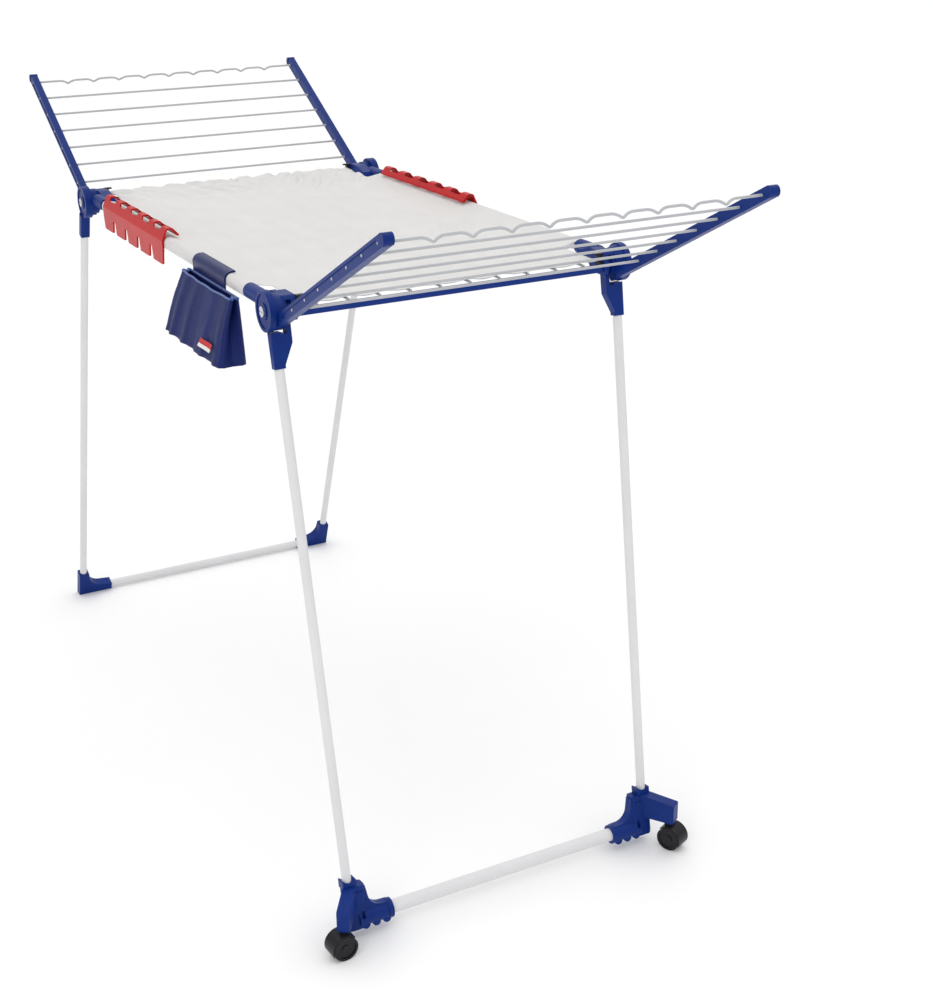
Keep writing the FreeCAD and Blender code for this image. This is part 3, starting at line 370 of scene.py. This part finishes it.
def cloth_piece():
    """Sheet over the centre: full width between the corner sockets, narrower at both ends."""
    columns = list(np.linspace(-END_X, -WIDE_X, 56))
    columns += list(np.linspace(-WIDE_X, WIDE_X, 190))[1:]
    columns += list(np.linspace(WIDE_X, END_X, 40))[1:]
    arc = WRAP_RADIUS * math.pi / 2
    half = list(np.linspace(0, NARROW_Y, 72)) + list(np.linspace(NARROW_Y, TUBE_Y, 11))[1:]
    half += list(np.linspace(TUBE_Y, TUBE_Y + arc, 7))[1:]
    half += list(np.linspace(TUBE_Y + arc, TUBE_Y + arc + DROP, 4))[1:]
    rows = [-s for s in reversed(half[1:])] + half
    points = []
    index_of = {}
    for i, x in enumerate(columns):
        for k, s in enumerate(rows):
            if abs(x) > WIDE_X + 1e-9 and abs(s) > NARROW_Y + 1e-9:
                continue
            y, down = across_tube(s)
            z = (cloth_height(x, y) if abs(s) < TUBE_Y else TUBE_Z + WRAP_RADIUS) + down
            index_of[(i, k)] = len(points)
            points.append((MID_X + x, y, z))
    faces = []
    for i in range(len(columns) - 1):
        for k in range(len(rows) - 1):
            corners = [(i, k), (i + 1, k), (i + 1, k + 1), (i, k + 1)]
            if all(c in index_of for c in corners):
                faces.append(tuple(index_of[c] for c in corners))
    return mesh_piece("cover_cloth_sheet", points, faces, MATERIALS["cloth"])


cloth = cloth_piece()
thicken(cloth, CLOTH_THICK)
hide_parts("cover_cloth")


def side_hem(side):
    """Long lower edge of the cloth, outside a side tube."""
    y = side * (TUBE_Y + WRAP_RADIUS)
    return [(MID_X + x, y, TUBE_Z - DROP + 0.0006) for x in np.linspace(-WIDE_X, WIDE_X, 60)]


def end_hem(end):
    """Short edge of the cloth, on the end bar."""
    x = end * (END_X - 0.0012)
    return [(MID_X + x, y, cloth_height(x, y) - 0.0003) for y in np.linspace(-NARROW_Y, NARROW_Y, 150)]


def hem(name, line, radius):
    return bead("cloth_hem_" + name, line, radius, MATERIALS["cloth"])


hems = [hem("left", side_hem(1), SIDE_HEM_RADIUS), hem("right", side_hem(-1), SIDE_HEM_RADIUS),
        hem("front", end_hem(1), END_HEM_RADIUS), hem("rear", end_hem(-1), END_HEM_RADIUS)]


# ---- peg bag ----
RIM_Z = BAG_HIGH.z
BASE_Z = BAG_LOW.z
RIM_INNER = CLIP_LOW.y - 0.0013
RIM_WIDTH = 0.0125
FLARE = 0.017
BASE_INNER = BAG_HIGH.y
BASE_OUTER = BAG_LOW.y
BAG_THICK = 0.0009
PIPING_RADIUS = 0.0017
LONG_STEPS = 64
END_STEPS = 14
LEVELS = 26
BASE_RINGS = 5
RIM_SAG = 0.0028
END_TUCK = 0.016
BASE_BULGE = 0.003


def corner_depth(edge, round_off):
    """How far a wall draws back at a distance edge from its corner."""
    short = max(0.0, 1 - edge / round_off)
    return round_off * (1 - math.sqrt(max(0.0, 1 - short ** 2)))


def fold(phase, level):
    """Soft upright folds of the outer wall, growing towards the base."""
    wave = math.sin(2 * math.pi * (phase * 4.3 + 0.25 * math.sin(5 * phase)))
    fine = math.sin(2 * math.pi * (phase * 9.1 + 0.35) + 1.2 * level)
    return (0.00075 + 0.00135 * level) * wave + 0.0007 * fine * level


def end_tuck(share, level):
    """Inward fold of the bag's end, deepest at the rim."""
    depth = END_TUCK * (1 - level) ** 0.5
    return depth * (1 - abs(2 * share - 1)) ** 0.8 + 0.002 * level * math.sin(math.pi * share)


def bag_loop(level):
    """Closed loop of the bag at a level from 0 (rim) to 1 (base), anticlockwise from above."""
    ease = level ** 1.1
    inner = RIM_INNER * (1 - ease) + BASE_INNER * ease
    outer = (RIM_INNER - RIM_WIDTH) * (1 - ease) + (BASE_OUTER + 0.001) * ease
    outer -= 0.0032 * math.sin(math.pi * min(1.0, level * 1.1))
    start = BAG_LOW.x + 0.001 + FLARE * (1 - level)
    stop = BAG_HIGH.x - 0.001 - FLARE * (1 - level)
    z = RIM_Z * (1 - level) + BASE_Z * level
    round_off = 0.003 + 0.005 * level
    length = stop - start
    width = inner - outer

    def long_place(k):
        share = k / LONG_STEPS
        edge = min(share, 1 - share) * length
        return share, start + length * share, edge, corner_depth(edge, round_off)

    def end_y(share):
        return outer + round_off + (width - 2 * round_off) * share

    loop = []
    for k in range(LONG_STEPS + 1):
        share, x, edge, corner = long_place(k)
        sag = RIM_SAG * math.sin(math.pi * share) * (1 - level)
        ripple = 0.0035 * wander(x, level, 18.0, 2.0) * level * (1 - level)
        y = outer + corner + fold(share, level) * smoothstep(0.0, 0.02, edge)
        loop.append((x, y, z - sag + ripple))
    for k in range(1, END_STEPS):
        share = k / END_STEPS
        loop.append((stop - end_tuck(share, level), end_y(share), z))
    for k in reversed(range(LONG_STEPS + 1)):
        share, x, edge, corner = long_place(k)
        loop.append((x, inner - corner - 0.0006 * (1 + math.sin(31 * share)) * level, z))
    for k in reversed(range(1, END_STEPS)):
        share = k / END_STEPS
        loop.append((start + end_tuck(share, level), end_y(share), z))
    return loop


def ring_faces(here, there, count):
    """Quads between two closed loops whose first points are numbered here and there."""
    return [(here + k, there + k, there + (k + 1) % count, here + (k + 1) % count) for k in range(count)]


def bag_piece():
    """Walls from rim to base, then the base drawn in from the last loop and closed along its middle."""
    loops = [bag_loop(k / LEVELS) for k in range(LEVELS + 1)]
    count = len(loops[0])
    last_loop = [Vector(p) for p in loops[-1]]
    centre = sum(last_loop, Vector((0, 0, 0))) / count
    points = [p for loop in loops for p in loop]
    for ring in range(1, BASE_RINGS + 1):
        share = ring / BASE_RINGS
        drop = BASE_BULGE * math.sin(math.pi / 2 * share)
        for p in last_loop:
            x = p.x * (1 - share * 0.25) + centre.x * share * 0.25
            y = p.y * (1 - share) + centre.y * share
            points.append((x, y, p.z - drop))
    faces = []
    for row in range(LEVELS + BASE_RINGS):
        faces += ring_faces(row * count, (row + 1) * count, count)
    outer_start = (LEVELS + BASE_RINGS) * count
    inner_stop = outer_start + 2 * LONG_STEPS + END_STEPS - 1
    for k in range(LONG_STEPS):
        near = outer_start + k
        far = inner_stop - k
        faces.append((near, near + 1, far, far + 1))
    return mesh_piece("peg_bag_shell", points, faces, MATERIALS["bag_nylon"]), loops[0]


bag, bag_rim = bag_piece()
thicken(bag, BAG_THICK)
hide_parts("peg_bag")
rim_line = [Vector(p) + Vector((0, 0, 0.0004)) for p in bag_rim]
bead("bag_piping", rim_line, PIPING_RADIUS, MATERIALS["piping"], closed=True)


# ---- finish of the CAD nodes ----
def dress_cad_nodes():
    """Give each CAD node the material of its slot; the tag's node is replaced and stays bare."""
    slots = {row["node"]: row["material_slot"] for row in frame["record"]["subparts"]}
    for name, node in NODES.items():
        material = MATERIALS.get(slots[name])
        if material is None:
            continue
        node.data.materials.clear()
        node.data.materials.append(material)


dress_cad_nodes()


# ---- tag ----
TAG_COLUMNS = 16
TAG_ROWS = 8
TAG_STAND_OFF = 0.004
TAG_CURL = 0.0018
TAG_THICK = 0.0006


def tag_piece():
    """Small sewn tag, curling a little at its free edge."""
    points = []
    for row in range(TAG_ROWS + 1):
        down = row / TAG_ROWS
        for column in range(TAG_COLUMNS + 1):
            share = column / TAG_COLUMNS
            x = TAG_LOW.x * (1 - share) + TAG_HIGH.x * share
            z = TAG_HIGH.z * (1 - down) + TAG_LOW.z * down
            y = TAG_HIGH.y * (1 - down) + TAG_LOW.y * down
            y -= TAG_STAND_OFF + TAG_CURL * down * down + 0.0007 * math.sin(share * 5 + 1)
            points.append((x, y, z))
    faces = []
    for row in range(TAG_ROWS):
        for column in range(TAG_COLUMNS):
            here = row * (TAG_COLUMNS + 1) + column
            below = here + TAG_COLUMNS + 1
            faces.append((here, below, below + 1, here + 1))
    return mesh_piece("bag_tag", points, faces, tag_material())


tag = tag_piece()
thicken(tag, TAG_THICK)
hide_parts("peg_bag_label")


# ---- floor, light and camera ----
FLOOR_SIZE = 80
FLOOR_TONES = ((0.93, 0.93, 0.93), (0.95, 0.95, 0.95))
WORLD_STRENGTH = 0.70
SUN_STRENGTH = 1.25
SUN_SPREAD = 115
SUN_TILT = (-14, -12)
KEY_PLACE = (2.6, -2.4, 2.4)
KEY_TARGET = (0, 0, 0.7)
KEY_SIZE = 1.6
KEY_POWER = 22
CAMERA_PLACE = (2.5114, -1.0569, 1.5484)
CAMERA_YAW = 62.174
CAMERA_PITCH = 21.755
CAMERA_ROLL = -0.772
LENS = 56.19
SENSOR = 36


def floor_piece():
    made, tree, shader, place = new_material("pale_floor")
    tint = ramp(tree, noise_value(tree, place, 1.5, 2.0), *FLOOR_TONES)
    tree.links.new(tint, shader.inputs["Base Color"])
    shader.inputs["Roughness"].default_value = 0.6
    bpy.ops.mesh.primitive_plane_add(size=FLOOR_SIZE, location=(0, 0, -0.0002))
    floor = bpy.context.object
    floor.name = "studio_floor"
    floor.data.materials.append(made)


def lamp_object(name, kind, power):
    data = bpy.data.lights.new(name, kind)
    data.energy = power
    lamp = bpy.data.objects.new(name, data)
    SCENE.collection.objects.link(lamp)
    return lamp


def studio():
    """White surroundings, a wide overhead light and a small key light."""
    world = bpy.data.worlds.new("studio")
    SCENE.world = world
    world.use_nodes = True
    background = world.node_tree.nodes["Background"]
    background.inputs[0].default_value = (1.0, 1.0, 1.0, 1.0)
    background.inputs[1].default_value = WORLD_STRENGTH
    overhead = lamp_object("overhead", "SUN", SUN_STRENGTH)
    overhead.data.angle = math.radians(SUN_SPREAD)
    overhead.rotation_euler = (math.radians(SUN_TILT[0]), math.radians(SUN_TILT[1]), 0)
    key = lamp_object("key", "AREA", KEY_POWER)
    key.data.shape = "RECTANGLE"
    key.data.size = KEY_SIZE
    key.data.size_y = KEY_SIZE
    key.location = KEY_PLACE
    aim = Vector(KEY_TARGET) - Vector(KEY_PLACE)
    key.rotation_euler = aim.to_track_quat("-Z", "Y").to_euler()


def camera():
    """Camera at the viewing angle found for the rack."""
    yaw = math.radians(CAMERA_YAW)
    pitch = math.radians(CAMERA_PITCH)
    roll = math.radians(CAMERA_ROLL)
    level = math.cos(pitch)
    forward = Vector((-math.sin(yaw) * level, math.cos(yaw) * level, -math.sin(pitch)))
    right = Vector((math.cos(yaw), math.sin(yaw), 0))
    up = right.cross(forward)
    turned_right = math.cos(roll) * right + math.sin(roll) * up
    turned_up = -math.sin(roll) * right + math.cos(roll) * up
    data = bpy.data.cameras.new("camera")
    data.lens = LENS
    data.sensor_width = SENSOR
    data.sensor_fit = "AUTO"
    data.clip_end = 200
    data.dof.use_dof = False
    made = bpy.data.objects.new("camera", data)
    SCENE.collection.objects.link(made)
    place = Matrix.Identity(4)
    for row in range(3):
        place[row][0] = turned_right[row]
        place[row][1] = turned_up[row]
        place[row][2] = -forward[row]
    place.translation = Vector(CAMERA_PLACE)
    made.matrix_world = place
    SCENE.camera = made


floor_piece()
studio()
camera()
SCENE.view_settings.view_transform = "Standard"
